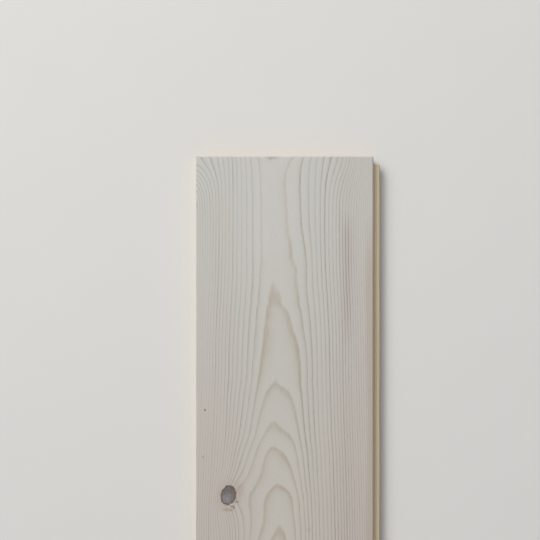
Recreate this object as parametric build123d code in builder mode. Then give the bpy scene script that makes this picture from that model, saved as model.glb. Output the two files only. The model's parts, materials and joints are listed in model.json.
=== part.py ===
"""Tongue-and-groove pine floorboard, sawn and planed from one piece of wood.

The board lies flat: X runs across it, Y along it and Z up, with the underside at Z = 0 and the
middle of the face above the origin. The long edges carry a tongue (+X) and a groove (-X). The
ends are matched as well, with a groove at +Y and a tongue at -Y.
"""

import os

from build123d import *

# Face of the board as it is laid, in millimetres
cover_width = 162.0
cover_length = 1800.0
thickness = 20.0

# Small bevel round the face, which shows as a fine line at each joint
face_bevel = 1.0

# Tongue, and the depth of wood above it that can wear or be sanded away
tongue_thickness = 6.0
tongue_reach = 6.5
tongue_nose_radius = 1.5
wear_depth = 8.0

# Room that the groove leaves round a neighbour's tongue
tongue_side_clearance = 0.15
tongue_nose_clearance = 0.5
groove_root_radius = 0.8

# Below the tongue the edges stand back, so that two faces close tight before the backs meet
lower_setback = 0.5
lower_ease = 0.6

# Shallow scoops along the underside, which let the board lie flat on an uneven floor
scoop_count = 4
scoop_pitch = 32.0
scoop_width = 16.0
scoop_depth = 2.0

# Sizes that follow from the ones above
overall_width = cover_width + tongue_reach
overall_length = cover_length + tongue_reach
tongue_height = thickness - wear_depth - tongue_thickness / 2
groove_thickness = tongue_thickness + 2 * tongue_side_clearance
groove_reach = tongue_reach + tongue_nose_clearance
scoop_radius = (scoop_width**2 / 4 + scoop_depth**2) / (2 * scoop_depth)


# Tongue profile: the face's edge is on the origin, the rounded nose points along +X and the root
# reaches back to the set-back edge below
with BuildSketch() as tongue:
    with Locations((-lower_setback, 0)):
        Rectangle(lower_setback + tongue_reach, tongue_thickness, align=(Align.MIN, Align.CENTER))
    fillet(tongue.vertices().group_by(Axis.X)[-1], radius=tongue_nose_radius)

# Groove profile: the face's edge is on the origin and the groove runs into the wood along +X
with BuildSketch() as groove:
    Rectangle(groove_reach, groove_thickness, align=(Align.MIN, Align.CENTER))
    fillet(groove.vertices().group_by(Axis.X)[-1], radius=groove_root_radius)


def matched_section(cover: float) -> Sketch:
    """Section of a matched board: tongue at +X, groove at -X, underside along the X axis.

    Args:
        cover: width of the face from arris to arris, without the tongue.

    Returns:
        The flat section, centred on the face.
    """
    with BuildSketch() as section:
        Rectangle(cover, thickness, align=(Align.CENTER, Align.MIN))
        chamfer(section.vertices().group_by(Axis.Y)[-1], length=face_bevel)
        with GridLocations(cover, 0, 2, 1):
            Rectangle(2 * lower_setback, 2 * tongue_height, mode=Mode.SUBTRACT)
        chamfer(section.vertices().group_by(Axis.Y)[0], length=lower_ease)
        with Locations((cover / 2, tongue_height)):
            add(tongue.sketch)
        with Locations((-cover / 2, tongue_height)):
            add(groove.sketch, mode=Mode.SUBTRACT)
    return section.sketch


with BuildPart() as pine_board:
    # Long edges and back, planed along the whole length
    with BuildSketch(Plane.front.offset(-cover_length / 2)) as cross_section:
        add(matched_section(cover_width))
        with Locations((0, scoop_depth - scoop_radius)):
            with GridLocations(scoop_pitch, 0, scoop_count, 1):
                Circle(scoop_radius, mode=Mode.SUBTRACT)
    extrude(amount=overall_length)

    # Ends, cut across the whole width with the same profile, so the bevels meet in a mitre
    with BuildSketch(Plane.left.offset(-cover_width / 2 - tongue_reach)) as long_section:
        add(matched_section(cover_length))
    extrude(amount=overall_width, mode=Mode.INTERSECT)

pine_board.part.label = "pine_board"

os.makedirs("parts", exist_ok=True)
export_step(pine_board.part, "parts/pine_board.step")
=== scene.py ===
"""White-oiled pine floorboard: growth rings, knots, brushed relief and planed edges.

The board keeps the frame's size and place. One growth-ring field, worked out from the trunk that the
board was sawn from, gives the face its arches, the edges their stripes, the ends their arcs and the
brushed face its relief.
"""

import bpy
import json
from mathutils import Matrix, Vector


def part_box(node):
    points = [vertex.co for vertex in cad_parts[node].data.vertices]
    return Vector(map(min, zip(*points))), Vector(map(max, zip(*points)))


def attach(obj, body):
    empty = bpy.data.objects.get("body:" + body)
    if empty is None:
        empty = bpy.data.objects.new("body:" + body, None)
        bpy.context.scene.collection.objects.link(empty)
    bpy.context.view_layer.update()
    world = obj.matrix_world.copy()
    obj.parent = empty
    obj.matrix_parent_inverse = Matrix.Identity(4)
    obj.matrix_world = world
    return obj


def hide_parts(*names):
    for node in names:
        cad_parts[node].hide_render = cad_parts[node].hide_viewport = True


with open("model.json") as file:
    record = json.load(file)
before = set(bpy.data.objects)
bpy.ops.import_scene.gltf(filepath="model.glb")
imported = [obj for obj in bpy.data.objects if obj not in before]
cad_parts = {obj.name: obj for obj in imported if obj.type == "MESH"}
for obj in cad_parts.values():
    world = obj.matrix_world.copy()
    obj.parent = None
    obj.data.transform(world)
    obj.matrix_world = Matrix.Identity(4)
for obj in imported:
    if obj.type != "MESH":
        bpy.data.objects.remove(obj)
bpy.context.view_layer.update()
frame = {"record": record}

import ast
import json
import logging
import math
from collections.abc import Mapping
from dataclasses import dataclass, field
from enum import IntEnum

import bmesh
import bpy
import numpy as np

LOG = logging.getLogger("floorboard")
MM = 0.001
NODE = "pine_board"

Points = tuple[tuple[float, float], ...]
Span = tuple[float, float]
Place = tuple[float, float, float]
Tree = bpy.types.NodeTree
Socket = bpy.types.NodeSocket

# Index of refraction of wood fibre and of the oil in it
WOOD_IOR = 1.5
# Corners of the blank that are closer than this, in metres, are one corner
MERGE_DISTANCE = 1e-7
# Where the edge profile jumps it is read this far to each side, and levels closer than the gap are one
LEVEL_STEP = 1e-6
LEVEL_GAP = 0.01


class Surface(IntEnum):
    """Kinds of surface on the board, as numbered in its face attribute."""

    FACE = 0
    PLANED = 1
    END_GRAIN = 2


MATH_SIGNS = {
    ast.Add: "ADD",
    ast.Sub: "SUBTRACT",
    ast.Mult: "MULTIPLY",
    ast.Div: "DIVIDE",
    ast.Pow: "POWER",
}
MATH_WORDS = {
    "sqrt": "SQRT",
    "exp": "EXPONENT",
    "sin": "SINE",
    "cos": "COSINE",
    "abs": "ABSOLUTE",
    "floor": "FLOOR",
    "fract": "FRACT",
    "min": "MINIMUM",
    "max": "MAXIMUM",
    "over": "GREATER_THAN",
}
HILL = "exp(-((x - middle) / reach) ** 2)"


def linear(hex_colour: str) -> tuple[float, float, float, float]:
    """Turns an sRGB hex colour into linear red, green, blue and alpha.

    Args:
        hex_colour: colour such as "#C8C7C1".

    Returns:
        The four channels from 0 to 1.
    """
    channels = [int(hex_colour[i : i + 2], 16) / 255 for i in (1, 3, 5)]
    straight = [c / 12.92 if c <= 0.04045 else ((c + 0.055) / 1.055) ** 2.4 for c in channels]
    return (*straight, 1.0)


def add_node(
    tree: Tree,
    kind: str,
    inputs: Mapping[int | str, object] | None = None,
    points: Points = (),
    **settings: object,
) -> bpy.types.Node:
    """Adds one node with its settings, its links and, on a curve, its points.

    Args:
        tree: node tree that gets the node.
        kind: Blender's name for the node type.
        inputs: values or output sockets, by the input's name or number.
        points: places of a float curve's points, from 0 to 1 each way.
        settings: properties of the node.

    Returns:
        The new node.
    """
    node = tree.nodes.new(kind)
    for name, value in settings.items():
        setattr(node, name, value)
    for key, value in (inputs or {}).items():
        if isinstance(value, bpy.types.NodeSocket):
            tree.links.new(value, node.inputs[key])
        else:
            node.inputs[key].default_value = value
    if points:
        curve = node.mapping.curves[0]
        while len(curve.points) < len(points):
            curve.points.new(1.0, 1.0)
        for point, place in zip(curve.points, points):
            point.location = place
            point.handle_type = "AUTO_CLAMPED"
        node.mapping.update()
    return node


def formula(tree: Tree, text: str, **values: object) -> Socket:
    """Adds the nodes that work out a formula.

    Args:
        tree: node tree that gets the nodes.
        text: formula with + - * / ** and the words of MATH_WORDS. ramp(x, a, b) is a smooth step, where a
            span can stand for its two ends, and hill(x, a, b) is a bell round a that falls off over b.
        values: numbers, spans and output sockets that the formula names.

    Returns:
        The socket with the result.
    """

    def place(term: ast.expr) -> object:
        """Adds the nodes of one term and gives its socket, or its number."""
        if isinstance(term, ast.Constant):
            return float(term.value)
        if isinstance(term, ast.Name):
            return values[term.id]
        if isinstance(term, ast.UnaryOp):
            return place(ast.BinOp(ast.Constant(0.0), ast.Sub(), term.operand))
        if isinstance(term, ast.BinOp):
            inputs = {0: place(term.left), 1: place(term.right)}
            return add_node(tree, "ShaderNodeMath", inputs, operation=MATH_SIGNS[type(term.op)]).outputs[0]
        parts = []
        for part in term.args:
            parts += values[part.value.id] if isinstance(part, ast.Starred) else [place(part)]
        if term.func.id == "hill":
            return formula(tree, HILL, **dict(zip(("x", "middle", "reach"), parts)))
        inputs = dict(enumerate(parts))
        if term.func.id == "ramp":
            return add_node(tree, "ShaderNodeMapRange", inputs, interpolation_type="SMOOTHSTEP").outputs[0]
        return add_node(tree, "ShaderNodeMath", inputs, operation=MATH_WORDS[term.func.id]).outputs[0]

    return place(ast.parse(text).body[0].value)


@dataclass(frozen=True)
class Grain:
    """Noise drawn out along the board, by its size in millimetres and its finer layers."""

    across: float
    along: float
    layers: float = 1.0

    def add_to(self, tree: Tree, place: Socket) -> Socket:
        """Adds the noise at a place in millimetres and gives it from 0 to 1."""
        parts = {0: place, 1: (self.across, self.along, self.across)}
        drawn_out = add_node(tree, "ShaderNodeVectorMath", parts, operation="DIVIDE").outputs[0]
        inputs = {"Vector": drawn_out, "Scale": 1.0, "Detail": self.layers}
        return add_node(tree, "ShaderNodeTexNoise", inputs).outputs[0]


@dataclass
class Sheet:
    """A node tree and the values that were worked out in it so far, by name."""

    tree: Tree
    values: dict[str, object]

    def __getitem__(self, name: str) -> object:
        """Gives a value by its name."""
        return self.values[name]

    def take(self, owner: object) -> None:
        """Takes in an owner's fields by name, with each grain as its noise at this place."""
        for name, value in vars(owner).items():
            if isinstance(value, Grain):
                value = value.add_to(self.tree, self["place"])
            self.values[name] = value

    def work_out(self, **texts: str) -> None:
        """Works out formulas in turn, each from the values before it, and keeps them by name."""
        for name, text in texts.items():
            self.values[name] = formula(self.tree, text, **self.values)


@dataclass(frozen=True)
class Course:
    """A value that follows a smooth curve through its points."""

    points: Points

    def add_to(self, tree: Tree, place: object) -> Socket:
        """Adds the curve.

        Args:
            tree: tree that gets the nodes.
            place: where on the curve, in the units of its points.

        Returns:
            The value there.
        """
        first, last = self.points[0][0], self.points[-1][0]
        low = min(value for _, value in self.points)
        span = max(value for _, value in self.points) - low
        shares = tuple(((p - first) / (last - first), (value - low) / span) for p, value in self.points)
        share = formula(tree, "(place - first) / (last - first)", place=place, first=first, last=last)
        curve = add_node(tree, "ShaderNodeFloatCurve", {1: share}, points=shares).outputs[0]
        return formula(tree, "low + span * curve", low=low, span=span, curve=curve)


@dataclass(frozen=True)
class BoardCourse(Course):
    """A course along the board, by the distance in millimetres from the end with the groove."""


@dataclass(frozen=True)
class Knot:
    """A branch that the board was sawn through, in millimetres on the face."""

    middle_across: float
    middle_along: float
    half_across: float
    half_along: float
    lean: float = 0.0
    swell: float = 4.0
    core_across: float = 0.0
    core_along: float = 0.0
    inward: float = 0.0
    taper: float = 0.018
    reach_across: float = 2.6
    reach_along: float = 2.3


@dataclass(frozen=True)
class GrowthRings:
    """The trunk round the board: its pith runs below the face, and each year adds the same area.

    Lengths are in millimetres. along is measured from the end with the groove, across from the
    middle of the face, and years are counted from the arch that comes to the face first.
    """

    end: float
    face: float
    length: float
    # The courses along the board are drawn finer over this first stretch, which has most of their room
    fine_length: float = 360.0
    fine_share: float = 0.7
    year_area: float = 316.0
    years_below: float = 11.0
    pith_across: float = -5.0
    # Year that lies on the face above the pith: each whole year is an arch
    centre_years: BoardCourse = BoardCourse((
        (0, -0.08), (17, 0.24), (40, 0.3), (63, 0.3), (85, 0.22), (113, 0.08), (120, 0.0), (129, -0.14),
        (134, -0.2), (137, -0.29), (141, -0.38), (146, -0.44), (152, -0.51), (169, -0.74), (186, -0.86),
        (203.5, -1.0), (214, -1.33), (242.5, -2.0), (254, -2.36), (266, -3.0), (274, -3.33), (291, -3.7),
        (301, -4.0), (309, -4.37), (336, -5.0), (351, -5.33), (400, -6.2), (480, -6.9), (620, -6.6),
        (760, -5.2), (880, -4.6), (1010, -5.4), (1150, -5.8), (1300, -4.9), (1450, -3.2), (1600, -2.0),
        (1810, -1.2),
    ))
    # Sideways wander of the inner rings
    centre_wander: BoardCourse = BoardCourse((
        (0, -4.5), (17, -7.0), (40, -6.5), (63, -5.8), (85, -4.6), (113, -1.8), (130, -1.1), (160, 0.0),
        (168, 0.5), (175, 1.3), (190, 1.3), (205, 0.2), (225, -0.6), (245, -1.6), (268, -1.8), (285, -0.6),
        (300, 0.7), (337, 1.4), (420, -2.0), (560, 1.0), (700, -5.0), (900, 0.0), (1100, -4.0), (1300, 1.0),
        (1500, -3.0), (1810, 0.0),
    ))
    wander_reach: float = 24.0
    # Arches lean to one side at their tips and stand out at their shoulders, by years and by place
    tip_lean: BoardCourse = BoardCourse((
        (0, 4.2), (129, 4.3), (134, 4.2), (141, 2.9), (147, 1.7), (153, 1.3), (160, 1.2), (168, 0.2),
        (185, 0.3), (197, 4.2), (270, 4.2), (300, 1.4), (360, 1.2), (500, 3.0), (1810, 4.2),
    ))
    tip_reach: BoardCourse = BoardCourse((
        (0, 9.0), (95, 9.0), (122, 14.0), (150, 14.0), (185, 9.0), (1810, 9.0),
    ))
    shoulder_years: BoardCourse = BoardCourse((
        (0, -0.2), (85, -0.2), (118, 0.0), (131, -0.02), (136, -0.06), (141, -0.03), (152, 0.0),
        (160, 0.02), (169, 0.12), (181, 0.2), (197, 0.28), (205, 0.26), (222, 0.1), (245, 0.12),
        (268, -0.05), (291, -0.12), (314, -0.13), (337, -0.27), (400, -0.1), (1810, 0.0),
    ))
    shoulder_across: BoardCourse = BoardCourse((
        (0, 13.0), (85, 13.0), (118, 8.0), (141, 8.0), (152, 11.0), (160, 14.0), (169, 16.0), (181, 18.0),
        (197, 20.5), (210, 20.5), (222, 18.0), (250, 17.0), (291, 14.0), (1810, 14.0),
    ))
    shoulder_reach: float = 8.0
    # Beside the first arch's tip the years on the tongue's side bend outwards
    bend_years: float = 0.42
    bend_across: float = 26.0
    bend_across_reach: float = 9.0
    bend_along: float = 92.0
    bend_along_reach: float = 24.0
    # The outer years run straighter than the arches: they hold to a year of their own
    settled_years: BoardCourse = BoardCourse((
        (0, 0.35), (60, 0.35), (140, -0.5), (200, -0.8), (1810, -0.8),
    ))
    tongue_hold: float = 0.65
    tongue_hold_reach: Span = (10.0, 40.0)
    groove_hold: float = 0.5
    groove_hold_reach: Span = (36.0, 54.0)
    # Near the groove's end the outer years bend outwards, round a branch that was cut away
    fan_length: float = 24.0
    tongue_fan: float = 9.0
    tongue_fan_across: float = 57.0
    tongue_fan_reach: float = 19.0
    groove_fan: float = 12.8
    groove_fan_start: float = 48.0
    groove_fan_span: float = 28.0
    groove_fan_power: float = 1.6
    # Slow waves and a fine tremble of the years
    wave: Grain = Grain(26.0, 110.0)
    wave_years: float = 0.34
    tremble: Grain = Grain(5.0, 14.0, 2.0)
    tremble_years: float = 0.16
    # How dark each year's summer wood is
    year_marks: Course = Course((
        (-8, 0.6), (-5, 0.6), (-3, 0.7), (-2, 0.6), (-1, 0.66), (0, 0.86), (1, 0.68), (2, 0.85), (3, 0.6),
        (4, 0.5), (5, 0.55), (6, 0.88), (7, 0.55), (8, 0.55), (9, 0.6), (10, 0.88), (11, 0.6), (12, 0.6),
        (13, 0.65), (14, 0.45), (15, 0.6), (18, 0.5), (24, 0.5),
    ))
    # Darkness through one year: pale spring wood, then summer wood that ends sharply
    year_profile: Course = Course((
        (0.0, 0.10), (0.05, 0.0), (0.40, 0.04), (0.66, 0.24), (0.84, 0.80), (0.91, 1.0), (0.96, 0.72),
        (1.0, 0.10),
    ))
    # Over the pith the saw cut the years flat. There the summer wood is narrow near the end and spreads
    # wide in the first arch
    flat_reach: Span = (12.0, 34.0)
    flat_spread: BoardCourse = BoardCourse((
        (0, -0.7), (60, -0.7), (95, 0.0), (125, 0.27), (152, 0.3), (166, 0.5), (176, 0.48), (190, 0.3),
        (215, 0.1), (240, 0.0), (1810, 0.0),
    ))
    # A year is not the same all round the trunk: it fades in patches and flecks, less towards the tongue
    patch: Grain = Grain(15.0, 150.0)
    patch_least: float = 0.25
    patch_gain: float = 1.5
    fleck: Grain = Grain(0.9, 8.0, 2.0)
    fleck_least: float = 0.3
    fleck_gain: float = 1.4
    side_least: float = 0.88
    side_gain: float = 0.22
    side_across: Span = (0.0, 25.0)
    side_along: Span = (30.0, 110.0)
    # Near the end it is paler over the pith and towards the groove, and farther on towards the tongue
    pale_across: float = 32.0
    pale_reach: float = 10.0
    pale_share: float = 0.28
    pale_change: Span = (100.0, 170.0)
    # A strip by the groove's edge is half bare of lines
    bare_share: float = 0.5
    bare_across: Span = (62.0, 71.0)
    bare_from: Span = (35.0, 75.0)
    bare_to: Span = (220.0, 290.0)
    # The years swell round a branch, and close up again sooner on its outer side
    swell_power: float = 0.7
    outer_closing: float = 0.6
    # A knot has a worn edge, a dark rim, a pale ringed core and a stained surround, in shares of its size
    knot_edge: Grain = Grain(4.0, 4.0, 2.0)
    edge_wear: float = 0.34
    edge_blend: Span = (0.9, 1.1)
    rim_place: float = 0.93
    rim_reach: float = 0.12
    core_stretch: float = 0.8
    core_reach: float = 0.66
    core_rings: float = 20.0
    core_ring_share: float = 0.34
    surround_place: float = 1.3
    surround_reach: float = 0.32
    knots: tuple[Knot, ...] = (
        Knot(
            -51.6, 309.5, 7.1, 9.4, lean=16, swell=4.2, core_across=-1.2, core_along=3.6, inward=0.9,
            reach_across=2.1,
        ),
        Knot(34.0, 705.0, 8.0, 10.5, lean=-8, swell=4.0, core_across=1.0, core_along=2.0, inward=-0.8),
        Knot(-63.0, 742.0, 4.5, 6.5, lean=14, swell=2.6, inward=0.9),
        Knot(-18.0, 1150.0, 11.0, 13.0, lean=4, swell=3.4, core_across=-1.0, core_along=3.0, inward=0.2),
        Knot(58.0, 1545.0, 6.0, 8.0, lean=-12, swell=3.6, inward=-0.9),
        Knot(-40.0, 1570.0, 7.0, 9.0, lean=9, swell=3.8, core_across=-1.0, core_along=2.0, inward=0.7),
    )

    def add_to(self, tree: Tree, position: Socket) -> Sheet:
        """Adds the field to a material's or a geometry's node tree.

        Args:
            tree: tree that gets the nodes.
            position: place on the board in metres.

        Returns:
            The field's values. place, x, along and below are in millimetres, year in years, and flat,
            late, strength, knot, rim, core and surround are shares from 0 to 1.
        """
        scaled = {0: position, "Scale": 1 / MM}
        place = add_node(tree, "ShaderNodeVectorMath", scaled, operation="SCALE").outputs[0]
        x, y, z = add_node(tree, "ShaderNodeSeparateXYZ", {0: place}).outputs
        sheet = Sheet(tree, {"place": place, "x": x, "y": y, "z": z})
        sheet.take(self)
        sheet.work_out(along="end - y", below="face - z")
        self._add_years(sheet)
        self._grow_knots(sheet)

        sheet.work_out(
            flat="1 - ramp(abs(aside), *flat_reach)",
            within="fract(year) ** (1 - flat * flat_spread)",
            counted="floor(year) + 1",
        )
        sheet.values["late"] = self.year_profile.add_to(tree, sheet["within"])
        sheet.values["mark"] = self.year_marks.add_to(tree, sheet["counted"])
        sheet.work_out(
            farther="ramp(along, *pale_change)",
            paler="1 - pale_share * ((flat + hill(x, -pale_across, pale_reach)) * (1 - farther)"
            " + hill(x, pale_across, pale_reach) * farther)",
            bare="1 - bare_share * ramp(-x, *bare_across) * ramp(along, *bare_from)"
            " * (1 - ramp(along, *bare_to))",
            strength="mark * (patch_least + patch_gain * patch) * (fleck_least + fleck_gain * fleck)"
            " * (side_least + side_gain * ramp(x, *side_across) * ramp(along, *side_along)) * paler * bare",
        )
        return sheet

    def _drawn_finer(self, course: BoardCourse) -> Course:
        """Gives a course along the board with its points moved to where the fine stretch puts them."""
        rest = self.length - self.fine_length
        moved = []
        for along, value in course.points:
            fine = min(along / self.fine_length, 1.0) * self.fine_share
            moved.append((fine + max(along - self.fine_length, 0.0) / rest * (1 - self.fine_share), value))
        return Course(tuple(moved))

    def _add_years(self, sheet: Sheet) -> None:
        """Works out the years of a trunk without branches, and the distance aside from its pith.

        Args:
            sheet: sheet with the trunk's sizes and the place on the board.
        """
        sheet.work_out(
            stretch="fine_share * min(along / fine_length, 1)"
            " + (1 - fine_share) * max((along - fine_length) / (length - fine_length), 0)",
        )
        for name, course in vars(self).items():
            if isinstance(course, BoardCourse):
                sheet.values[name] = self._drawn_finer(course).add_to(sheet.tree, sheet["stretch"])
        sheet.work_out(
            off="x - pith_across",
            bowed="off - centre_wander * hill(off, 0, wander_reach)",
            fan="(tongue_fan * hill(x, tongue_fan_across, tongue_fan_reach)"
            " - groove_fan * max((-x - groove_fan_start) / groove_fan_span, 0) ** groove_fan_power)"
            " * hill(along, 0, fan_length)",
            aside="bowed + tip_lean * hill(bowed, 0, tip_reach) - fan",
            held="settled_years + (centre_years - settled_years) * (1"
            " - tongue_hold * ramp(aside, *tongue_hold_reach)"
            " - groove_hold * ramp(-aside, *groove_hold_reach))",
            height="sqrt(year_area * (held + years_below)) - below",
            shoulder="shoulder_years * hill(abs(aside), shoulder_across, shoulder_reach)",
            bend="bend_years * hill(aside, bend_across, bend_across_reach)"
            " * hill(along, bend_along, bend_along_reach)",
            moves="(wave - 0.5) * wave_years + (tremble - 0.5) * tremble_years",
            year="(aside ** 2 + height ** 2) / year_area - years_below + moves - shoulder - bend",
        )

    def _grow_knots(self, sheet: Sheet) -> None:
        """Swells the years round each branch, and works out where its knot is.

        Args:
            sheet: sheet with the years of the trunk without branches.
        """
        sheet.values.update(knot=0.0, rim=0.0, core=0.0, surround=0.0)
        for knot in self.knots:
            turn = math.radians(knot.lean)
            inner = 1.0 if knot.middle_across < self.pith_across else -1.0
            sheet.take(knot)
            sheet.values.update(cosine=math.cos(turn), sine=math.sin(turn), inner=inner)
            sheet.work_out(
                dx="x - middle_across - below * inward",
                dy="along - middle_along",
                narrow="1 - below * taper",
                p="(dx * cosine + dy * sine) / (half_across * narrow)",
                q="(dy * cosine - dx * sine) / (half_along * narrow)",
                closed="p * (1 + outer_closing * over(0, p * inner))",
                year="year - swell"
                " * exp(-((closed / reach_across) ** 2 + (q / reach_along) ** 2) ** swell_power)",
                rough="sqrt(p * p + q * q) + (knot_edge - 0.5) * edge_wear",
                apart="sqrt((dx - core_across) ** 2"
                " + ((dy - core_along) * core_stretch) ** 2) / half_across",
                knot="max(knot, 1 - ramp(rough, *edge_blend))",
                rim="max(rim, hill(rough, rim_place, rim_reach))",
                core="max(core, hill(apart, 0, core_reach) * (1 - core_ring_share"
                " + core_ring_share * cos((apart + knot_edge) * core_rings)))",
                surround="max(surround, hill(rough, surround_place, surround_reach))",
            )


@dataclass
class Coating:
    """A material in the making: colours are laid over one another, then shaded and given relief."""

    material: bpy.types.Material
    tree: Tree
    shader: bpy.types.Node
    place: Socket

    @classmethod
    def start(cls, name: str, roughness: float) -> "Coating":
        """Starts a material with its shader and its object coordinates.

        Args:
            name: name of the finish.
            roughness: roughness where nothing changes it.

        Returns:
            The coating, with nothing laid yet.
        """
        material = bpy.data.materials.new(name)
        material.use_nodes = True
        tree = material.node_tree
        tree.nodes.clear()
        shader = add_node(tree, "ShaderNodeBsdfPrincipled", {"Roughness": roughness, "IOR": WOOD_IOR})
        add_node(tree, "ShaderNodeOutputMaterial", {"Surface": shader.outputs[0]})
        place = add_node(tree, "ShaderNodeTexCoord").outputs["Object"]
        return cls(material, tree, shader, place)

    def lay(self, ground: object, *coats: tuple[object, object]) -> object:
        """Lays coats of colour over a ground.

        Args:
            ground: hex colour or socket that the coats cover.
            coats: share that shows and hex colour or socket of each coat, from the first to the last.

        Returns:
            The colour of it all.
        """
        colour = linear(ground) if isinstance(ground, str) else ground
        for share, coat in coats:
            over = linear(coat) if isinstance(coat, str) else coat
            inputs = {"Factor": share, 6: colour, 7: over}
            colour = add_node(self.tree, "ShaderNodeMix", inputs, data_type="RGBA").outputs[2]
        return colour

    def close(self, colour: Socket, shade: object = None, height: object = None) -> bpy.types.Material:
        """Shades the colour and gives the surface its relief.

        Args:
            colour: colour of the coats.
            shade: how much of its brightness the colour keeps, if not all.
            height: relief in millimetres, if any.

        Returns:
            The finished material.
        """
        if shade is not None:
            inputs = {0: colour, "Scale": shade}
            colour = add_node(self.tree, "ShaderNodeVectorMath", inputs, operation="SCALE").outputs[0]
        self.tree.links.new(colour, self.shader.inputs["Base Color"])
        if height is not None:
            inputs = {"Height": height, "Distance": MM, "Strength": 1.0}
            bump = add_node(self.tree, "ShaderNodeBump", inputs)
            self.tree.links.new(bump.outputs[0], self.shader.inputs["Normal"])
        return self.material


@dataclass(frozen=True)
class Stain:
    """A small mark on the face, in millimetres, with the share of its colour at its middle."""

    middle_across: float
    middle_along: float
    half_across: float
    half_along: float
    colour: str
    share: float


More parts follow.
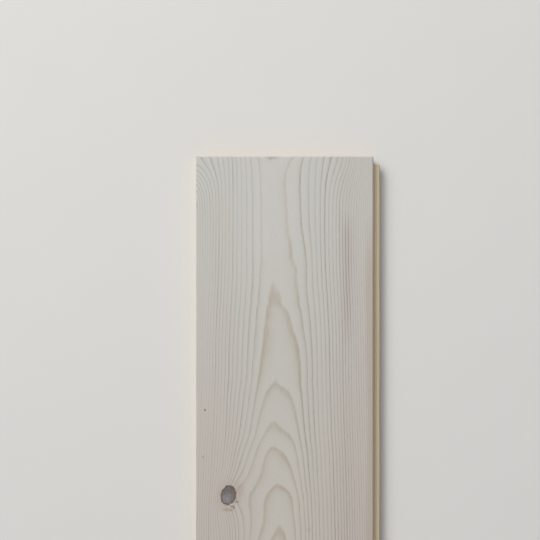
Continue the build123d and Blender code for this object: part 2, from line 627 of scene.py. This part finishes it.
@dataclass(frozen=True)
class WhiteOiledPine:
    """Sanded pine rubbed with white oil: chalky spring wood, faint tan and grey summer lines, matt."""

    name: str = "white_oiled_pine"
    spring_cool: str = "#C8C6BF"
    spring_warm: str = "#C5BDB2"
    side_blush: str = "#C3B7B0"
    summer_tan: str = "#A99A84"
    summer_grey: str = "#857F76"
    # Brown of the real streak, also used for the band of painted shade
    bare_edge: str = "#B2A391"
    brown_streak: str = "#8E786E"
    knot_wood: str = "#67605C"
    knot_brown: str = "#7E6E66"
    knot_rim: str = "#5C504A"
    knot_core: str = "#9A9797"
    halo: str = "#AE9C86"
    roughness_spring: float = 0.62
    roughness_summer: float = 0.52
    cloud: Grain = Grain(30.0, 160.0, 2.0)
    # The oil has yellowed a little away from the end, less over the pith
    warm_along: Span = (20.0, 360.0)
    warm_share: float = 0.9
    pith_less: float = 0.15
    cloud_warmth: float = 0.5
    # The sides blush, but not towards the groove near the end
    blush_share: float = 0.28
    blush_across: Span = (22.0, 72.0)
    plain_across: Span = (10.0, 40.0)
    plain_along: Span = (5.0, 80.0)
    # Share of the summer colour in the years' lines, and in the faint lines between them
    line_share: float = 0.62
    flat_gain: float = 0.18
    between_share: float = 0.07
    between_turn: float = 17.0
    between_shift: float = 9.0
    between_power: float = 3.0
    # The oil is thin along the tongue's edge
    edge_share: float = 0.5
    edge_across: Span = (72.5, 77.0)
    edge_along: Span = (45.0, 110.0)
    edge_wander: float = 6.0
    # A brown streak follows a few strong years. Beside it, a faint band of painted shade in the same brown
    # runs the whole length of the board
    streak_across: float = 57.0
    streak_reach: float = 4.5
    streak_from: Span = (45.0, 75.0)
    streak_to: Span = (130.0, 185.0)
    streak_least: float = 0.1
    streak_gain: float = 0.7
    band_reach: float = 9.0
    band_share: float = 0.05
    # Shares of the knots' colours
    halo_share: float = 0.22
    rim_share: float = 0.8
    brown_share: float = 0.8
    knot_mottle: Grain = Grain(3.2, 4.0, 2.0)
    brown_mottle: Span = (0.42, 0.62)
    # Fibres and fine resin canals darken the wood a little
    fibre: Grain = Grain(0.55, 42.0, 2.0)
    fibre_height: float = 0.03
    fibre_shade: float = 0.07
    least_shade: float = 0.965
    canal: Grain = Grain(0.4, 5.0)
    canal_open: Span = (0.62, 0.78)
    canal_shade: float = 0.1
    stain_power: float = 1.5
    stains: tuple[Stain, ...] = (
        # Resin beside the first arch, and a touch of it at the end
        Stain(5.4, 86.0, 1.9, 10.0, "#A3977C", 0.3),
        Stain(-11.6, 1.0, 5.5, 2.2, "#A08F7A", 0.35),
        # Bark, oil and bare wood round the knot
        Stain(-48.0, 319.5, 1.7, 0.9, "#6A5A4C", 0.6),
        Stain(-46.5, 320.9, 0.9, 1.3, "#55463A", 0.7),
        Stain(-44.0, 315.5, 2.4, 0.9, "#6A5A4C", 0.6),
        Stain(-49.0, 323.2, 1.8, 1.1, "#8F7A62", 0.45),
        Stain(-48.6, 317.8, 1.6, 0.8, "#D6D0C6", 0.6),
        Stain(-53.2, 322.8, 3.4, 1.5, "#A18C72", 0.5),
        Stain(-40.5, 305.0, 4.2, 8.0, "#AF9A88", 0.32),
        # Specks
        Stain(-72.8, 231.6, 0.9, 0.9, "#453F3A", 0.85),
        Stain(-74.6, 274.5, 1.1, 1.1, "#6E655C", 0.4),
        Stain(22.1, 341.0, 2.4, 2.4, "#A99A84", 0.3),
        Stain(61.0, 520.0, 0.9, 1.1, "#4B443E", 0.8),
        Stain(-30.0, 866.0, 1.0, 1.2, "#514841", 0.8),
        Stain(12.0, 1322.0, 2.4, 9.0, "#A3977C", 0.5),
        Stain(44.0, 1690.0, 0.9, 1.0, "#4B443E", 0.8),
    )

    def material(self, rings: GrowthRings) -> bpy.types.Material:
        """Makes the finish of the board's face.

        Args:
            rings: growth-ring field of the board.

        Returns:
            The material.
        """
        coating = Coating.start(self.name, self.roughness_spring)
        wood = rings.add_to(coating.tree, coating.place)
        wood.take(self)
        wood.work_out(
            warmth="ramp(along, *warm_along) * (warm_share - pith_less * flat)"
            " + (cloud - 0.5) * cloud_warmth",
            blush="blush_share * ramp(abs(x), *blush_across)"
            " * (1 - ramp(-x, *plain_across) * (1 - ramp(along, *plain_along)))",
            between="0.5 + 0.5 * cos(year * between_turn + cloud * between_shift)",
            line="(late * strength * (line_share + flat_gain * flat)"
            " + between_share * between ** between_power * (1 - flat)) * (1 - knot)",
            edge="edge_share * ramp(x + (cloud - 0.5) * edge_wander, *edge_across)"
            " * ramp(along, *edge_along)",
            # Painted shade: a faint darker band along the whole board on the tongue's side
            band="band_share * hill(x, streak_across, band_reach)",
            streak="hill(x, streak_across, streak_reach) * ramp(along, *streak_from)"
            " * (1 - ramp(along, *streak_to)) * (streak_least + streak_gain * late)",
            stained="halo_share * surround",
            rimmed="rim_share * rim",
            browned="brown_share * ramp(knot_mottle, *brown_mottle)",
            rough="roughness_spring + (roughness_summer - roughness_spring) * line",
            shade="least_shade + fibre_shade * fibre - canal_shade * ramp(canal, *canal_open)",
            relief="fibre * fibre_height",
        )
        stains = []
        for stain in self.stains:
            wood.take(stain)
            wood.work_out(
                mark="share * exp(-(((x - middle_across) / half_across) ** 2"
                " + ((along - middle_along) / half_along) ** 2) ** stain_power)",
            )
            stains.append((wood["mark"], stain.colour))
        spring = coating.lay(
            self.spring_cool, (wood["warmth"], self.spring_warm), (wood["blush"], self.side_blush)
        )
        summer = coating.lay(self.summer_grey, (wood["flat"], self.summer_tan))
        knot = coating.lay(
            self.knot_wood,
            (wood["browned"], self.knot_brown),
            (wood["core"], self.knot_core),
            (wood["rimmed"], self.knot_rim),
        )
        colour = coating.lay(
            spring,
            (wood["line"], summer),
            (wood["edge"], self.bare_edge),
            # The band of painted shade, then the brown streak
            (wood["band"], self.brown_streak),
            (wood["streak"], self.brown_streak),
            (wood["stained"], self.halo),
            (wood["knot"], knot),
            *stains,
        )
        coating.tree.links.new(wood["rough"], coating.shader.inputs["Roughness"])
        return coating.close(colour, wood["shade"], wood["relief"])


@dataclass(frozen=True)
class BarePine:
    """Pine without oil: straw-yellow wood with clear rings, as the planer or the saw left it."""

    name: str
    spring: str
    summer: str
    roughness: float
    grain: Grain
    grain_height: float
    grain_shade: float
    least_shade: float
    line_least: float
    line_gain: float = 0.5
    knot_wood: str = "#7A5A42"
    cutter_height: float = 0.0
    cutter_pitch: float = 1.8
    half_turn: float = math.pi

    def material(self, rings: GrowthRings) -> bpy.types.Material:
        """Makes a finish of the edges, the underside or the ends.

        Args:
            rings: growth-ring field of the board.

        Returns:
            The material.
        """
        coating = Coating.start(self.name, self.roughness)
        wood = rings.add_to(coating.tree, coating.place)
        wood.take(self)
        wood.work_out(
            line="late * (line_least + line_gain * strength)",
            shade="least_shade + grain_shade * grain",
            relief="grain * grain_height + abs(sin(along * half_turn / cutter_pitch)) * cutter_height",
        )
        colour = coating.lay(self.spring, (wood["line"], self.summer), (wood["knot"], self.knot_wood))
        return coating.close(colour, wood["shade"], wood["relief"])


# Fresh from the planer: clear lines along the fibres and fine cutter marks across them
PLANED_PINE = BarePine(
    name="planed_pine",
    spring="#DCCDB0",
    summer="#BE9C70",
    roughness=0.66,
    grain=Grain(0.6, 36.0, 2.0),
    grain_height=0.04,
    grain_shade=0.16,
    least_shade=0.92,
    line_least=0.35,
    cutter_height=0.02,
)
# Sawn across the grain: rough and darker, with open pores and arcs of rings
END_GRAIN_PINE = BarePine(
    name="end_grain_pine",
    spring="#CDB48A",
    summer="#9C7446",
    roughness=0.8,
    grain=Grain(0.5, 0.5, 2.0),
    grain_height=0.12,
    grain_shade=0.3,
    least_shade=0.84,
    line_least=0.45,
)


class Strip(IntEnum):
    """Strips of the bake map from its left, after the face's stretches."""

    BACK = 0
    TONGUE_EDGE = 1
    GROOVE_EDGE = 2
    ENDS = 3


@dataclass(frozen=True)
class BakeMap:
    """The board's sides laid out as upright strips, in pixels of the picture that is baked.

    The face is cut in stretches that stand side by side, so that its fine lines get enough pixels.
    """

    low: tuple[float, float]
    high: tuple[float, float]
    name: str = "OFBake"
    pixels: int = 1024
    gap: int = 8
    stretches: int = 3
    face_strip: int = 246
    other_strips: tuple[int, ...] = (96, 42, 42, 44)

    def _on_strip(self, left: np.ndarray, width: int, across: np.ndarray, up: np.ndarray) -> np.ndarray:
        """Gives the map's coordinates for shares of a strip's width and of the picture's height."""
        usable = self.pixels - self.gap
        return np.stack([left + across * width, self.gap / 2 + up * usable], axis=-1) / self.pixels

    def face(self, corners: np.ndarray) -> np.ndarray:
        """Lays faces seen from above on the stretch that they belong to.

        Args:
            corners: corners of each face in millimetres.

        Returns:
            The map's coordinates of each corner.
        """
        share = (corners[..., :2] - self.low) / np.subtract(self.high, self.low)
        up = share[..., 1] * self.stretches
        stretch = np.clip(np.floor(up.mean(axis=-1, keepdims=True)), 0, self.stretches - 1)
        left = self.gap / 2 + stretch * (self.face_strip + self.gap)
        return self._on_strip(left, self.face_strip, share[..., 0], up - stretch)

    def other(self, strip: Strip, across: np.ndarray, up: np.ndarray) -> np.ndarray:
        """Lays faces of the back, an edge or an end on its strip.

        Args:
            strip: the strip.
            across: shares of the strip's width.
            up: shares of the picture's height.

        Returns:
            The map's coordinates of each corner.
        """
        before = self.stretches * (self.face_strip + self.gap)
        left = self.gap / 2 + before + sum(self.other_strips[:strip]) + self.gap * strip
        return self._on_strip(left, self.other_strips[strip], across, up)


@dataclass
class Shell:
    """Corners, faces, kinds of surface and bake map of a blank while it is put together."""

    points: np.ndarray
    columns: int
    rows: int
    bake_map: BakeMap
    faces: list[list[int]] = field(default_factory=list)
    kinds: list[int] = field(default_factory=list)
    places: list[np.ndarray] = field(default_factory=list)

    def add(self, faces: np.ndarray, kind: Surface, places: np.ndarray) -> None:
        """Adds faces of one kind, with the bake map's coordinates of their corners."""
        self.faces += faces.tolist()
        self.kinds += [int(kind)] * len(faces)
        self.places.append(places.reshape(-1, 2))

    def mesh(self, name: str) -> bpy.types.Mesh:
        """Closes the shell.

        Args:
            name: name of the mesh.

        Returns:
            Mesh in metres, with outward faces, the kind of surface on each and its bake map.
        """
        mesh = bpy.data.meshes.new(name)
        mesh.from_pydata((self.points * MM).tolist(), [], self.faces)
        mesh.attributes.new("surface", "INT", "FACE").data.foreach_set("value", self.kinds)
        layer = mesh.uv_layers.new(name=self.bake_map.name)
        layer.data.foreach_set("uv", np.concatenate(self.places).ravel())
        work = bmesh.new()
        work.from_mesh(mesh)
        bmesh.ops.remove_doubles(work, verts=work.verts, dist=MERGE_DISTANCE)
        bmesh.ops.recalc_face_normals(work, faces=work.faces)
        work.to_mesh(mesh)
        work.free()
        return mesh


@dataclass
class PineFloorboard:
    """The board: a tongue-and-groove blank, its brushed face and its three finishes. Millimetres."""

    cover_width: float
    cover_length: float
    thickness: float
    tongue_reach: float
    tongue_height: float
    face_bevel: float = 1.0
    tongue_thickness: float = 6.0
    tongue_nose_radius: float = 1.5
    side_clearance: float = 0.15
    nose_clearance: float = 0.5
    groove_root_radius: float = 0.8
    lower_setback: float = 0.5
    lower_ease: float = 0.6
    scoop_count: int = 4
    scoop_pitch: float = 32.0
    scoop_width: float = 16.0
    scoop_depth: float = 2.0
    # Places on a quarter turn of the tongue's nose and the groove's root that get a level
    quarter_shares: tuple[float, ...] = (0.0, 0.35, 0.7, 1.0)
    # Faces across, and their length near the groove's end and farther on
    columns: int = 220
    fine_length: float = 360.0
    fine_step: float = 3.0
    far_step: float = 8.0
    # Depth between the summer lines and at the knots' rims, with the knots' share of it
    relief: float = 0.08
    knot_sink: float = 0.12
    knot_sink_share: float = 0.4
    # Only corners this close to the face are brushed
    brushed_depth: float = 0.01
    sharp_degrees: float = 40.0
    # Start and share of the bake strip that the two ends stand on, one above the other
    near_end_room: Span = (0.0, 0.49)
    far_end_room: Span = (0.51, 0.49)

    @classmethod
    def from_frame(cls) -> "PineFloorboard":
        """Reads the board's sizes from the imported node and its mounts."""
        low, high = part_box(NODE)
        places = {m["name"]: m["pos_m"] for m in frame["record"]["mounts"]}
        return cls(
            cover_width=(places["side_tongue"][0] - places["side_groove"][0]) / MM,
            cover_length=(places["end_groove"][1] - places["end_tongue"][1]) / MM,
            thickness=(high[2] - low[2]) / MM,
            tongue_reach=(high[0] - places["side_tongue"][0]) / MM,
            tongue_height=places["side_tongue"][2] / MM,
        )

    def rings(self) -> GrowthRings:
        """Gives the growth-ring field that fits this board."""
        length = self.cover_length + self.tongue_reach
        return GrowthRings(end=self.cover_length / 2, face=self.thickness, length=length)

    def edge_levels(self) -> list[tuple[float, float, float]]:
        """Follows the edge profile up from the underside.

        Returns:
            Height, then how far the tongue's and the groove's sides reach past the face's edges.
        """
        half = self.tongue_thickness / 2
        tongue = (self.tongue_height - half, self.tongue_height + half)
        groove = (tongue[0] - self.side_clearance, tongue[1] + self.side_clearance)
        groove_reach = self.tongue_reach + self.nose_clearance

        def rounded(z: float, span: Span, reach: float, radius: float) -> float:
            """Reach of a rounded tongue or groove at one height."""
            drop = max(0.0, radius - min(z - span[0], span[1] - z))
            return reach - radius + math.sqrt(radius**2 - drop**2)

        def reaches(z: float) -> tuple[float, float]:
            """Reach of the tongue's side and of the groove's side at one height."""
            lower = -self.lower_setback if z < self.tongue_height else 0.0
            out, back = lower, lower
            if tongue[0] < z < tongue[1]:
                out = rounded(z, tongue, self.tongue_reach, self.tongue_nose_radius)
            if groove[0] < z < groove[1]:
                back = -rounded(z, groove, groove_reach, self.groove_root_radius)
            return out, back

        heights = set()
        for span, radius in ((tongue, self.tongue_nose_radius), (groove, self.groove_root_radius)):
            for share in self.quarter_shares:
                rise = radius * (1 - math.cos(share * math.pi / 2))
                heights |= {round(span[0] + rise, 4), round(span[1] - rise, 4)}
        low = -self.lower_setback - self.lower_ease
        levels = [(0.0, low, low), (self.lower_ease, -self.lower_setback, -self.lower_setback)]
        for z in sorted(heights):
            for step in (-LEVEL_STEP, LEVEL_STEP):
                level = (z, *reaches(z + step))
                if math.dist(level, levels[-1]) > LEVEL_GAP:
                    levels.append(level)
        levels.append((self.thickness - self.face_bevel, 0.0, 0.0))
        levels.append((self.thickness, -self.face_bevel, -self.face_bevel))
        return levels

    def scoop(self, x: np.ndarray) -> np.ndarray:
        """Height of the scooped underside.

        Args:
            x: places across the board.

        Returns:
            Height of the wood above the floor at each place.
        """
        radius = (self.scoop_width**2 / 4 + self.scoop_depth**2) / (2 * self.scoop_depth)
        height = np.zeros_like(x)
        first = -(self.scoop_count - 1) / 2 * self.scoop_pitch
        for number in range(self.scoop_count):
            apart = np.minimum(np.abs(x - first - number * self.scoop_pitch), radius)
            height = np.maximum(height, np.sqrt(radius**2 - apart**2) - radius + self.scoop_depth)
        return height

    def row_shares(self) -> np.ndarray:
        """Places of the rows along the board, from 0 to 1: closer together near the groove's end."""
        far_rows = round((self.cover_length - self.fine_length) / self.far_step)
        fine_rows = round(self.fine_length / self.fine_step)
        split = 1 - self.fine_length / self.cover_length
        far = np.linspace(0, split, far_rows, endpoint=False)
        return np.concatenate([far, np.linspace(split, 1, fine_rows + 1)])

    def edge_loops(self) -> list[np.ndarray]:
        """Runs a loop of points round the board at each level of its edge profile.

        Returns:
            The loops from the underside up, each along the near end, the tongue's side, the far end and
            the groove's side.
        """
        row_shares = self.row_shares()
        column_shares = np.linspace(0, 1, self.columns + 1)
        loops = []
        for number, (z, out, back) in enumerate(self.edge_levels()):
            x = -self.cover_width / 2 - back + column_shares * (self.cover_width + out + back)
            y = -self.cover_length / 2 - out + row_shares * (self.cover_length + out + back)
            heights = np.full_like(x, z)
            drawn_out = np.zeros_like(x)
            if number == 0:
                heights = self.scoop(x)
                drawn_out = np.minimum(heights, self.lower_ease)
            if number == 1:
                heights = np.maximum(z, self.scoop(x))
            near = np.stack([x, y[0] - drawn_out, heights], axis=1)
            far = np.stack([x, y[-1] + drawn_out, heights], axis=1)
            tongue_side = np.stack([np.full_like(y, x[-1]), y, np.full_like(y, z)], axis=1)
            groove_side = np.stack([np.full_like(y, x[0]), y, np.full_like(y, z)], axis=1)
            loops.append(np.concatenate([near[:-1], tongue_side[:-1], far[:0:-1], groove_side[:0:-1]]))
        return loops

    def build_blank(self) -> bpy.types.Mesh:
        """Builds the closed blank, fine across the face and along the stretch near the groove's end.

        Returns:
            Mesh in metres, with the kind of surface on each face and a bake map.
        """
        loops = self.edge_loops()
        columns, rows = self.columns, len(self.row_shares()) - 1
        x = loops[-1][1:columns, 0]
        y = loops[-1][columns + 1 : columns + rows, 1]
        inner = np.stack([*np.meshgrid(x, y), np.full((rows - 1, columns - 1), self.thickness)], axis=-1)
        half = np.array([self.cover_width, self.cover_length]) / 2
        bake_map = BakeMap(tuple(-half), tuple(half))
        shell = Shell(np.concatenate([*loops, inner.reshape(-1, 3)]), columns, rows, bake_map)
        self._add_edges(shell)
        self._add_face(shell)
        self._add_back(shell)
        return shell.mesh("floorboard")

    def _add_edges(self, shell: Shell) -> None:
        """Adds the ends, the long edges and the bevel round the face.

        Args:
            shell: the shell with all its points.
        """
        columns, rows = shell.columns, shell.rows
        levels = np.array(self.edge_levels())
        steps = np.diff(levels, axis=0)[:-1]
        loop_size = 2 * (columns + rows)
        # Start, count, kind, axis that it runs along, strip, column of its reach and room on its strip
        sides = (
            (0, columns, Surface.END_GRAIN, 0, Strip.ENDS, 1, self.near_end_room),
            (columns, rows, Surface.PLANED, 1, Strip.TONGUE_EDGE, 1, (0.0, 1.0)),
            (columns + rows, columns, Surface.END_GRAIN, 0, Strip.ENDS, 2, self.far_end_room),
            (2 * columns + rows, rows, Surface.PLANED, 1, Strip.GROOVE_EDGE, 2, (0.0, 1.0)),
        )
        lowest, highest = shell.points.min(axis=0), shell.points.max(axis=0)
        for start, count, kind, axis, strip, reach, (room_start, room) in sides:
            run = np.concatenate([[0.0], np.cumsum(np.hypot(steps[:, 0], steps[:, reach]))])
            run = run / run[-1] if reach == 2 else 1 - run / run[-1]
            place = start + np.arange(count)
            after = (place + 1) % loop_size
            for level in range(len(levels) - 1):
                low, high = level * loop_size, (level + 1) * loop_size
                quads = np.stack([low + place, low + after, high + after, high + place], axis=-1)
                corners = shell.points[quads]
                if level == len(levels) - 2:
                    shell.add(quads, Surface.FACE, shell.bake_map.face(corners))
                    continue
                up = (corners[..., axis] - lowest[axis]) / (highest[axis] - lowest[axis])
                across = np.broadcast_to(run[[level, level, level + 1, level + 1]], up.shape)
                shell.add(quads, kind, shell.bake_map.other(strip, across, room_start + room * up))

    def _add_face(self, shell: Shell) -> None:
        """Adds the face, a grid inside the last loop.

        Args:
            shell: the shell with all its points.
        """
        columns, rows = shell.columns, shell.rows
        inner = (rows - 1) * (columns - 1)
        top = len(shell.points) - inner - 2 * (columns + rows)
        across, up = np.arange(columns + 1), np.arange(rows + 1)
        grid = np.empty((rows + 1, columns + 1), int)
        grid[1:-1, 1:-1] = np.arange(len(shell.points) - inner, len(shell.points)).reshape(rows - 1, -1)
        grid[0, :] = top + across
        grid[:, -1] = top + columns + up
        grid[-1, :] = top + columns + rows + (columns - across)
        grid[1:, 0] = top + 2 * columns + rows + (rows - up[1:])
        quads = np.stack([grid[:-1, :-1], grid[:-1, 1:], grid[1:, 1:], grid[1:, :-1]], axis=-1)
        quads = quads.reshape(-1, 4)
        shell.add(quads, Surface.FACE, shell.bake_map.face(shell.points[quads]))

    def _add_back(self, shell: Shell) -> None:
        """Adds the underside: a long strip for each column, the outer two meeting the sides' rows.

        Args:
            shell: the shell with all its points.
        """
        columns, rows = shell.columns, shell.rows
        far_start = columns + rows
        for column in range(columns):
            strip = [column, far_start + columns - column, far_start + columns - column - 1, column + 1]
            if column == 0:
                strip[1:1] = range(2 * far_start - 1, far_start + columns, -1)
            if column == columns - 1:
                strip[3:3] = range(far_start - 1, columns, -1)
            corners = shell.points[strip]
            across = 0.5 - corners[:, 0] / self.cover_width
            up = 0.5 + corners[:, 1] / self.cover_length
            shell.add(np.array([strip]), Surface.PLANED, shell.bake_map.other(Strip.BACK, across, up))

    def brushed_face_tree(self, finishes: Mapping[Surface, bpy.types.Material]) -> Tree:
        """Makes the geometry nodes that brush the face down between the summer lines.

        Args:
            finishes: material of each kind of surface.

        Returns:
            The node tree, with the depths as named inputs.
        """
        tree = bpy.data.node_groups.new("brushed_face", "GeometryNodeTree")
        tree.interface.new_socket("Geometry", in_out="INPUT", socket_type="NodeSocketGeometry")
        for name in ("Relief depth", "Knot sink"):
            tree.interface.new_socket(name, in_out="INPUT", socket_type="NodeSocketFloat")
        tree.interface.new_socket("Geometry", in_out="OUTPUT", socket_type="NodeSocketGeometry")
        given = add_node(tree, "NodeGroupInput").outputs
        position = add_node(tree, "GeometryNodeInputPosition").outputs[0]
        wood = self.rings().add_to(tree, position)
        wood.take(self)
        wood.values.update(depth=given["Relief depth"], sink=given["Knot sink"])
        wood.work_out(
            drop="-(depth * (1 - min(late * strength, 1)) * (1 - knot)"
            " + sink * max(knot * knot_sink_share, rim))",
            brushed="over(brushed_depth, below)",
        )
        moved = {
            "Geometry": given["Geometry"],
            "Selection": wood["brushed"],
            "Offset": add_node(tree, "ShaderNodeCombineXYZ", {2: wood["drop"]}).outputs[0],
        }
        shape = add_node(tree, "GeometryNodeSetPosition", moved).outputs[0]
        shape = add_node(tree, "GeometryNodeRealizeInstances", {0: shape}).outputs[0]
        named = {"Name": "surface"}
        kind = add_node(tree, "GeometryNodeInputNamedAttribute", named, data_type="INT").outputs[0]
        for surface, material in finishes.items():
            chosen = formula(tree, "1 - min(abs(kind - wanted), 1)", kind=kind, wanted=float(surface))
            inputs = {"Geometry": shape, "Selection": chosen, "Material": material}
            shape = add_node(tree, "GeometryNodeSetMaterial", inputs).outputs[0]
        add_node(tree, "NodeGroupOutput", {0: shape})
        return tree

    def dress(self) -> bpy.types.Object:
        """Builds the board, brushes its face and gives it its finishes.

        Returns:
            The finished piece, a plain mesh at the origin.
        """
        rings = self.rings()
        finishes = {
            Surface.FACE: WhiteOiledPine().material(rings),
            Surface.PLANED: PLANED_PINE.material(rings),
            Surface.END_GRAIN: END_GRAIN_PINE.material(rings),
        }
        piece = bpy.data.objects.new("floorboard", self.build_blank())
        bpy.context.scene.collection.objects.link(piece)
        brushing = piece.modifiers.new("brushed_face", "NODES")
        tree = self.brushed_face_tree(finishes)
        brushing.node_group = tree
        depths = {"Relief depth": self.relief * MM, "Knot sink": self.knot_sink * MM}
        for item in tree.interface.items_tree:
            if item.in_out == "INPUT" and item.name in depths:
                brushing[item.identifier] = depths[item.name]
        bpy.context.view_layer.update()
        evaluated = piece.evaluated_get(bpy.context.evaluated_depsgraph_get())
        finished = bpy.data.meshes.new_from_object(evaluated)
        piece.modifiers.remove(brushing)
        piece.data = finished
        finished.shade_smooth()
        finished.set_sharp_from_angle(angle=math.radians(self.sharp_degrees))
        return piece


@dataclass(frozen=True)
class PaleFloor:
    """Matt pale studio floor with a faint mottle."""

    name: str = "pale_floor"
    colour: str = "#DDDBD7"
    lighter: str = "#DFDDD9"
    roughness: float = 0.9
    mottle: Grain = Grain(60.0, 60.0, 3.0)

    def material(self) -> bpy.types.Material:
        """Makes the floor's material."""
        coating = Coating.start(self.name, self.roughness)
        tree = coating.tree
        scaled = {0: coating.place, "Scale": 1 / MM}
        place = add_node(tree, "ShaderNodeVectorMath", scaled, operation="SCALE").outputs[0]
        colour = coating.lay(self.colour, (self.mottle.add_to(tree, place), self.lighter))
        return coating.close(colour)


@dataclass(frozen=True)
class Studio:
    """Floor, soft light from the upper left and a camera straight above the board. Metres, degrees."""

    face: float
    end: float
    floor_size: float = 14.0
    floor_gap: float = 0.0002
    picture: int = 540
    mm_per_pixel: float = 0.913
    face_middle_pixel: float = 284.75
    end_pixel: float = 156.3
    lens: float = 85.0
    sensor: float = 36.0
    fill_colour: str = "#F4F6FA"
    fill_strength: float = 0.295
    sun_energy: float = 0.95
    sun_spread: float = 24.0
    sun_turn: Place = (-30.0, -34.0, 0.0)
    panel_size: float = 2.4
    panel_energy: float = 36.0
    panel_turn: Place = (-28.0, -22.0, 0.0)
    panel_left: float = 0.8
    panel_beyond: float = 1.0
    panel_height: float = 1.9

    def build(self) -> None:
        """Sets up the floor, the lights and the camera."""
        self._floor()
        self._lights()
        self._camera()

    def _floor(self) -> None:
        """Lays the floor just under the board."""
        half = self.floor_size / 2
        corners = [(-half, -half), (half, -half), (half, half), (-half, half)]
        mesh = bpy.data.meshes.new("floor")
        mesh.from_pydata([(x, y, -self.floor_gap) for x, y in corners], [], [(0, 1, 2, 3)])
        mesh.materials.append(PaleFloor().material())
        floor = bpy.data.objects.new("floor", mesh)
        bpy.context.scene.collection.objects.link(floor)

    def _hang(self, item: bpy.types.ID, place: Place, turn: Place = (0.0, 0.0, 0.0)) -> bpy.types.Object:
        """Hangs a light or the camera at a place, turned by so many degrees about each axis."""
        hung = bpy.data.objects.new(item.name, item)
        hung.location = place
        hung.rotation_euler = [math.radians(angle) for angle in turn]
        bpy.context.scene.collection.objects.link(hung)
        return hung

    def _lights(self) -> None:
        """Hangs a wide soft light at the upper left, with an even fill all round."""
        world = bpy.data.worlds.new("studio")
        world.use_nodes = True
        backdrop = world.node_tree.nodes["Background"]
        backdrop.inputs["Color"].default_value = linear(self.fill_colour)
        backdrop.inputs["Strength"].default_value = self.fill_strength
        bpy.context.scene.world = world

        sun = bpy.data.lights.new("window_light", "SUN")
        sun.energy = self.sun_energy
        sun.angle = math.radians(self.sun_spread)
        self._hang(sun, (0.0, 0.0, 0.0), self.sun_turn)

        panel = bpy.data.lights.new("soft_panel", "AREA")
        panel.shape = "DISK"
        panel.size = self.panel_size
        panel.energy = self.panel_energy
        place = (-self.panel_left, self.end + self.panel_beyond, self.panel_height)
        self._hang(panel, place, self.panel_turn)

    def _camera(self) -> None:
        """Hangs the camera over the place that the picture's middle shows."""
        scene = bpy.context.scene
        scene.view_settings.view_transform = "Standard"
        camera = bpy.data.cameras.new("camera")
        camera.lens = self.lens
        camera.sensor_width = self.sensor
        middle = self.picture / 2
        pixel = self.mm_per_pixel * MM
        place = (
            (middle - self.face_middle_pixel) * pixel,
            self.end - (middle - self.end_pixel) * pixel,
            self.face + self.picture * pixel * self.lens / self.sensor,
        )
        scene.camera = self._hang(camera, place)


def main() -> None:
    """Builds and dresses the board, sets up the studio and logs the number of faces."""
    logging.basicConfig(level=logging.INFO, format="%(name)s: %(message)s")
    board = PineFloorboard.from_frame()
    piece = board.dress()
    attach(piece, "root")
    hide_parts(NODE)
    LOG.info("%s: %d faces", piece.name, len(piece.data.polygons))
    Studio(face=board.thickness * MM, end=board.cover_length / 2 * MM).build()
    LOG.info("studio: floor, lights and camera")


if __name__ == "__main__":
    main()
